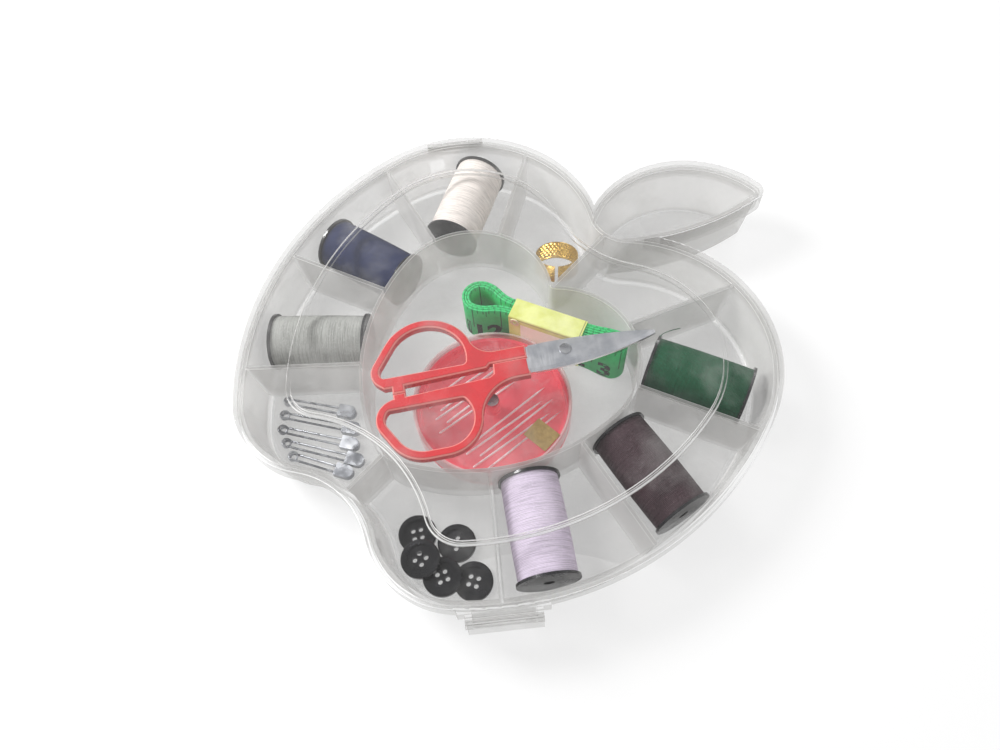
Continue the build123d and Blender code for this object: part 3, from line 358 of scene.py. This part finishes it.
strand = bpy.data.curves.new("greenThreadEnd", "CURVE")
strand.dimensions, strand.bevel_depth, strand.bevel_resolution = "3D", thread["radius"] * mm, 2
strand.use_fill_caps = True
line = strand.splines.new("NURBS")
line.points.add(len(thread["spots"]) - 1)
for point, spot in zip(line.points, thread["spots"]):
    point.co = tuple(c * mm for c in spot) + (1,)
line.order_u, line.use_endpoint_u, line.resolution_u = 3, True, 8
strand.materials.append(threadLooks["green"].material)
threadEnd = bpy.data.objects.new("greenThreadEnd", strand)
stage.collection.objects.link(threadEnd)
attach(threadEnd, "case")
print("spools and buttons")

# Scissors: red handles with a painted highlight in pale red along their rims, and grey blades with a painted
# white highlight on their bevels.
# The rim highlight comes and goes between depths under the handles' top.
scissors = {"red": "D0343A", "deep": "B5262E", "pale": "F8A79E", "top": 24.7,
            "rimTop": (0.02, 0.25), "rimFoot": (0.45, 0.7),
            "steel": "B4B8C0", "bright": "D8DADF", "grain": "E8E9EC", "edge": "FFFFFF",
            "spot": (20.6, 17.6, 0), "turn": 52.3}

redLook = Look("redHandle", scissors["red"], 0.28)
spot = redLook.place(scissors["spot"], scissors["turn"])
depth = scissors["top"] - redLook.split(spot)[2]
# painted highlight: a pale band just under the handles' top, along their rims
rim = redLook.step(depth, *scissors["rimTop"]) * redLook.step(depth, *scissors["rimFoot"], 1, 0)
soft = redLook.noise(spot, 0.12)
tone = redLook.mix(redLook.step(soft, 0.35, 0.7, 0, 0.6), scissors["red"], scissors["deep"])
redLook.set("Base Color", redLook.mix(rim * 0.7, tone, scissors["pale"]))
redLook.vary(soft, 0.2, 0.36)

steelLook = Look("bladeSteel", scissors["steel"], 0.3, Metallic=1.0)
spot = steelLook.place(scissors["spot"], scissors["turn"])
along, across, height = steelLook.split(spot)
grain = steelLook.noise(steelLook.joined(along * 6.0, across * 0.3, height), 1.0, 3)
cloud = steelLook.noise(spot, 0.12, 3)
tone = steelLook.mix(steelLook.step(cloud, 0.35, 0.65), scissors["steel"], scissors["bright"])
level = abs(steelLook.split(steelLook.make("ShaderNodeNewGeometry", {}, out="Normal"))[2])
tone = steelLook.mix(grain * 0.25, tone, scissors["grain"])
# painted highlight: white where the blade's surface leans away from upright, on its bevels and sides
steelLook.set("Base Color", steelLook.mix(steelLook.step(level, 0.5, 0.95, 1, 0), tone, scissors["edge"]))
steelLook.vary(grain, 0.3, 0.44)

# Bright wire: a dark and a bright tone, the share of metal, the painted glow, and the nodes it dresses
wires = {"pin": ("8E9095", "C6C8CC", 0.95, 0.0,
                 ("scissors_rivet", "needle_case_rivet", "safety_pin_wires", "safety_pin_caps")),
         "needle": ("E9EAEC", "FFFFFF", 0.15, 0.08, ("needles",))}

for name, (dark, bright, metal, glow, nodes) in wires.items():
    wireLook = Look(name + "Wire", bright, 0.3, Metallic=metal)
    # painted glow: the wire gives off light of its own colour, on the needles only
    wireLook.glow(wireLook.colour, glow)
    wear = wireLook.noise(wireLook.place(), 0.15, 2)
    wireLook.set("Base Color", wireLook.mix(wireLook.step(wear, 0.35, 0.7), dark, bright))
    wireLook.vary(wear, 0.2, 0.36)
    dress(wireLook, *nodes)

dress(redLook, "scissors_fixed_handle", "scissors_moving_handle")
dress(steelLook, "scissors_fixed_blade", "scissors_moving_blade")
print("scissors, pins and needles")

# Needle case: a red dish under a clear pink cover with a small gold label
needleCase = {"spot": (9.4, -8.5, 0), "rim": 27.0, "red": "E2485A", "deep": "CC3348", "glow": 0.3, "cover": 0.7,
              "pink": "F2B6BA", "clear": "F3EDEC", "gold": "7A6136", "goldPale": "C4A86E"}

dishLook = Look("redDish", needleCase["red"], 0.25)
spot = dishLook.place(needleCase["spot"])
swirl = dishLook.noise(spot, 0.09, 3)
dishLook.set("Base Color", dishLook.mix(dishLook.step(swirl, 0.35, 0.65),
                                        needleCase["deep"], needleCase["red"]))
dishLook.set("Alpha", dishLook.facing() * 0.2 + needleCase["cover"])
# painted glow: the dish gives off red light of its own colour
dishLook.glow(dishLook.colour, needleCase["glow"])
dishLook.vary(swirl, 0.2, 0.35)

coverLook = Look("pinkCover", needleCase["pink"], 0.1)
spot = coverLook.place(needleCase["spot"])
x, y, z = coverLook.split(spot)
outer = coverLook.step((x * x + y * y) ** 0.5, needleCase["rim"] - 0.3, needleCase["rim"] + 0.2)
scuff = coverLook.noise(spot, 0.2, 4)
coverLook.set("Base Color", coverLook.mix(outer, needleCase["pink"], needleCase["clear"]))
coverLook.set("Alpha", coverLook.facing() ** 2 * 0.5 + outer * 0.3
              + coverLook.step(scuff, 0.5, 0.75, 0.05, 0.2))
coverLook.vary(scuff, 0.08, 0.25)

labelLook = Look("goldLabel", needleCase["gold"], 0.35, Metallic=0.4)
fleck = labelLook.noise(labelLook.place(), 0.7, 4)
labelLook.set("Base Color", labelLook.mix(fleck, needleCase["gold"], needleCase["goldPale"]))

dress(dishLook, "needle_case_base")
dress(coverLook, "needle_case_cover")
dress(labelLook, "needle_case_label")
print("needle case")

# Tape measure: the wound band is drawn again with its print, its layers closer than the hidden solid's.
# A lobe is given by its middle and its radius, the print by the place of its three and by its unit.
# A tick has its share of the unit, its width and its length from the edge.
tape = {"spot": (6.8, 24.8, 0), "turn": 18.5, "low": 1.96, "high": 20.5, "thick": 0.8, "pitch": 0.92,
        "turns": 4, "left": (26.5, 7.0), "right": (25.0, 4.7), "waist": 3.75, "waistX": 14.0, "endX": 10.0,
        "flankSteps": 8, "lobeSteps": 24, "round": 0.15, "sag": 0.14,
        "waves": ((0.13, 0.09, 0), (0.05, 0.31, 1)),
        "green": "48D77E", "deep": "30BE68", "edge": "36C474", "ink": "0C1C15",
        "three": 33.5, "unit": 10.4, "firstNumber": 2, "lastNumber": 12,
        "figure": 11.5, "figureLow": 2.9, "bold": 0.04, "lift": 0.02, "longestEdge": 1.2,
        "small": (0.2, 0.35, 1.9), "middle": (0.5, 0.4, 3.6), "full": (1.0, 0.4, 12.0),
        "dots": (0.2, 0.7, 0.45), "bareEdge": 0.3}


def tapeLine(depth):  # the wound line, from the front of the coil round its right end first
    line = [(-tape["endX"], depth - tape["waist"])]
    for turn in range(2 * tape["turns"] - 1):
        toward = 1 if turn % 2 == 0 else -1
        lobeX, lobeR = tape["right"] if toward > 0 else tape["left"]
        inset = depth + turn // 2 * tape["pitch"]
        inner = inset + tape["pitch"] if toward < 0 else inset
        run, rise = lobeX - tape["waistX"], lobeR - tape["waist"]
        bend = (run ** 2 + rise ** 2) / (4 * rise)
        swing = math.asin(run / (2 * bend))

        def flank(layer):  # an S from the waist out to the lobe
            turns = [swing * step / tape["flankSteps"] for step in range(tape["flankSteps"] + 1)]
            return ([(tape["waistX"] + (bend + layer) * math.sin(a),
                      tape["waist"] + bend - (bend + layer) * math.cos(a)) for a in turns]
                    + [(lobeX - (bend - layer) * math.sin(a),
                        lobeR - bend + (bend - layer) * math.cos(a)) for a in reversed(turns[:-1])])

        line += [(toward * x, -toward * y) for x, y in flank(inset)]
        for step in range(1, tape["lobeSteps"]):
            share = step / tape["lobeSteps"]
            angle = math.pi * (share - 0.5)
            reach = lobeR - inset + (inset - inner) * share
            line.append((toward * (lobeX + reach * math.cos(angle)), toward * reach * math.sin(angle)))
        line += [(toward * x, toward * y) for x, y in reversed(flank(inner))]
    line.append((tape["endX"], tape["waist"] - inner))
    return line


outerLine, innerLine = tapeLine(0), tapeLine(tape["thick"])
reached = [0.0]
for a, b in zip(outerLine, outerLine[1:]):
    reached.append(reached[-1] + math.dist(a, b))
tapeFrame = Matrix.Translation(Vector(tape["spot"]) * mm) @ Matrix.Rotation(math.radians(tape["turn"]), 4, "Z")

bm = bmesh.new()
sheet = bm.loops.layers.uv.new("along")
rings = []
for (ox, oy), (ix, iy), along in zip(outerLine, innerLine, reached):
    wave = sum(size * math.sin(along * pace + start) for size, pace, start in tape["waves"])
    top = tape["high"] - tape["sag"] - wave
    shoulder = top - tape["round"]
    ring = []
    for share, z in ((0, tape["low"]), (0, shoulder), (0.2, top), (0.8, top), (1, shoulder), (1, tape["low"])):
        place = Vector((ox + (ix - ox) * share, oy + (iy - oy) * share, z))
        ring.append(bm.verts.new(tapeFrame @ (place * mm)))
    rings.append(ring)
ringsToFaces(bm, rings)
alongOf = {vert: along for ring, along in zip(rings, reached) for vert in ring}
for face in bm.faces:
    for loop in face.loops:
        loop[sheet].uv = (alongOf[loop.vert], loop.vert.co.z / mm)

tapeLook = Look("greenTape", tape["green"], 0.5)
along, height, _ = tapeLook.split(tapeLook.make("ShaderNodeUVMap", {"uv_map": "along"}))
weave = tapeLook.noise(tapeLook.joined(along * 6.0, height * 6.0, 0.0), 1.0, 2)
shade = tapeLook.noise(tapeLook.joined(along * 0.2, height * 0.15, 0.0), 1.0, 2)
fromEdge = tape["high"] - height
mark = along - tape["three"] + 0.5 * tape["unit"]  # long lines stand half way between the numbers


def ticks(share, wide, long):
    return ((mark % (share * tape["unit"])) < wide) * (fromEdge < long)


printed = fromEdge > tape["bareEdge"]
small, middle, full = (ticks(*tape[kind]) * printed for kind in ("small", "middle", "full"))
dots = ticks(*tape["dots"]) * (weave > 0.5)  # the small ticks seen from above
ink = (small * 0.8).math("MAXIMUM", middle * 0.7).math("MAXIMUM", full).math("MAXIMUM", dots * 0.7)
tone = tapeLook.mix(tapeLook.step(shade, 0.3, 0.7), tape["deep"], tape["green"])
# painted shade: a darker green on the band's top face and edge, fading to a lasting share of it lower down
tone = tapeLook.mix(tapeLook.step(fromEdge, 0.1, 1.4, 0, 0.55), tape["edge"], tone)
tapeLook.set("Base Color", tapeLook.mix(ink * 0.85, tone, tape["ink"]))
tapeLook.vary(weave, 0.4, 0.65)
tapeLook.bump(weave, 0.4, 0.1)
band = piece("tapeBand", bm, tapeLook)
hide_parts("tape_measure")

inkLook = Look("tapeInk", tape["ink"], 0.5)
inkLook.vary(inkLook.noise(inkLook.place(), 0.8), 0.4, 0.6)


def numeral(text, middle):  # a printed number, as a flat mesh bent round the band's outer face
    letters = bpy.data.curves.new("numeral", "FONT")
    letters.body, letters.size, letters.align_x, letters.resolution_u = text, tape["figure"], "CENTER", 4
    letters.offset = tape["bold"] * tape["figure"]
    holder = bpy.data.objects.new("numeral", letters)
    stage.collection.objects.link(holder)
    flat = bpy.data.meshes.new_from_object(holder.evaluated_get(bpy.context.evaluated_depsgraph_get()))
    bpy.data.objects.remove(holder)
    bm = bmesh.new()
    bm.from_mesh(flat)
    bmesh.ops.triangulate(bm, faces=bm.faces)
    bmesh.ops.subdivide_edges(bm, edges=[e for e in bm.edges if e.calc_length() > tape["longestEdge"]], cuts=2)
    for vert in bm.verts:
        along, z = middle + vert.co.x, tape["figureLow"] + vert.co.y
        i = next(k for k in range(1, len(reached)) if reached[k] >= along)
        a, b = Vector(outerLine[i - 1]), Vector(outerLine[i])
        point = a.lerp(b, (along - reached[i - 1]) / (reached[i] - reached[i - 1]))
        out = Vector((b.y - a.y, a.x - b.x)).normalized() * tape["lift"]
        vert.co = tapeFrame @ (Vector((point.x + out.x, point.y + out.y, z)) * mm)
    bm.to_mesh(flat)
    bm.free()
    return flat


bm = bmesh.new()
for number in range(tape["firstNumber"], tape["lastNumber"] + 1):
    bm.from_mesh(numeral(str(number), tape["three"] + tape["unit"] * (number - 3)))
numbers = piece("tapeNumbers", bm, inkLook, smooth=False)
print("tape measure")

# Paper sleeve round the tape: lime, with a cream panel in front and printed lines along its edges
sleeve = {"half": 13.5, "wide": 4.2, "low": 1.62, "high": 20.93, "thick": 0.33, "round": 0.55, "corner": 4,
          "panel": (-9.0, 12.2, 3.0, 17.6), "lines": ((12.9, 0.16), (19.9, 0.14)), "glow": 0.16,
          "lime": "BFC553", "limePale": "D3D880", "pale": "F2ECDD", "paper": "FFFFF0", "line": "3C4220",
          "eyelet": "D2C992", "eyeletPale": "F6F1DA"}


def sleeveRing(x, inset):  # a rounded rectangle across the sleeve
    ring = []
    wide, radius = sleeve["wide"] - inset, sleeve["round"] - inset
    low, high = sleeve["low"] + inset, sleeve["high"] - inset
    for side, end, start in ((1, high, 0), (-1, high, 90), (-1, low, 180), (1, low, 270)):
        for step in range(sleeve["corner"] + 1):
            angle = math.radians(start + 90 * step / sleeve["corner"])
            y = side * (wide - radius) + radius * math.cos(angle)
            z = end + (radius if end == low else -radius) + radius * math.sin(angle)
            ring.append(bm.verts.new(tapeFrame @ (Vector((x, y, z)) * mm)))
    return ring


bm = bmesh.new()
outside = [sleeveRing(x, 0) for x in (-sleeve["half"], -6, 0, 6, sleeve["half"])]
inside = [sleeveRing(x, sleeve["thick"]) for x in (sleeve["half"], 0, -sleeve["half"])]
ringsToFaces(bm, outside + inside, closed=True)
sleeveLook = Look("limeSleeve", sleeve["lime"], 0.45)
spot = sleeveLook.place(tape["spot"], tape["turn"])
x, y, z = sleeveLook.split(spot)
front = y < -sleeve["wide"] + 0.1
left, right, low, high = sleeve["panel"]
panel = front * (x > left) * (x < right) * (z > low) * (z < high)
(lineX, wideX), (lineZ, wideZ) = sleeve["lines"]
line = (abs(x - lineX) < wideX).math("MAXIMUM", front * (abs(z - lineZ) < wideZ))
paper = sleeveLook.noise(spot, 0.8, 4)
wash = sleeveLook.noise(spot, 0.1, 2)
tone = sleeveLook.mix(sleeveLook.step(wash, 0.35, 0.65), sleeve["lime"], sleeve["limePale"])
tone = sleeveLook.mix(panel, tone, sleeve["pale"])
tone = sleeveLook.mix(line * 0.8, tone, sleeve["line"])
tone = sleeveLook.mix(paper * 0.2, tone, sleeve["paper"])
sleeveLook.set("Base Color", tone)
# painted glow: the sleeve gives off light of its own tone
sleeveLook.glow(tone, sleeve["glow"])
sleeveLook.vary(paper, 0.35, 0.55)
wrap = piece("paperSleeve", bm, sleeveLook, smooth=False)
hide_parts("tape_sleeve")

eyeletLook = Look("creamEyelet", sleeve["eyelet"], 0.3)
gleam = eyeletLook.noise(eyeletLook.place(), 0.9)
eyeletLook.set("Base Color", eyeletLook.mix(gleam, sleeve["eyelet"], sleeve["eyeletPale"]))
dress(eyeletLook, "tape_eyelet")
print("sleeve")

# Ring thimble with dimples. Its bore flares at both mouths by the first flare over the second.
thimble = {"spot": (-11.6, 51.9, 9.77), "turn": -51.0, "radius": 8.2, "wall": 0.6, "width": 7.4,
           "split": 1.4, "around": 220, "across": 30, "dimple": 1.35, "reach": 0.46, "depth": 0.3, "rows": 2,
           "rim": 0.2, "flare": (0.15, 0.4), "gold": "B98B35", "pale": "F0CC74"}

goldLook = Look("goldThimble", thimble["gold"], 0.25, Metallic=1.0)
wear = goldLook.noise(goldLook.place(), 0.4)
goldLook.set("Base Color", goldLook.mix(wear, thimble["gold"], thimble["pale"]))
goldLook.vary(wear, 0.16, 0.36)

bm = bmesh.new()
rings = []
opening = math.asin(thimble["split"] / 2 / thimble["radius"])
rowHeight, dimpleRadius = thimble["dimple"] * math.sqrt(3) / 2, thimble["dimple"] * thimble["reach"]
for i in range(thimble["around"] + 1):
    angle = -math.pi / 2 + opening + (math.tau - 2 * opening) * i / thimble["around"]
    arc = angle * thimble["radius"]
    ring = []
    for j in range(thimble["across"] + 1):
        x = thimble["width"] * (j / thimble["across"] - 0.5)
        row = round(x / rowHeight)
        near = (arc / thimble["dimple"] + 0.5 * (row % 2)) % 1.0 - 0.5
        away = math.hypot(near * thimble["dimple"], x - row * rowHeight) / dimpleRadius
        dip = thimble["depth"] * max(0, 1 - away ** 2) if abs(row) <= thimble["rows"] else 0
        rim = thimble["rim"] if j in (0, thimble["across"]) else 0
        ring.append((x, thimble["radius"] - dip - rim))
    half, bore = thimble["width"] / 2, thimble["radius"] - thimble["wall"]
    flare, mouth = thimble["flare"]
    ring += [(half, bore + flare), (half - mouth, bore), (mouth - half, bore), (-half, bore + flare)]
    rings.append([bm.verts.new((x * mm, r * math.cos(angle) * mm, r * math.sin(angle) * mm))
                  for x, r in ring])
ringsToFaces(bm, rings)
bmesh.ops.transform(bm, verts=bm.verts, matrix=Matrix.Translation(Vector(thimble["spot"]) * mm)
                    @ Matrix.Rotation(math.radians(thimble["turn"]), 4, "Z"))
cup = piece("dimpledThimble", bm, goldLook)
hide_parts("thimble")
print("thimble")

low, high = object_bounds()
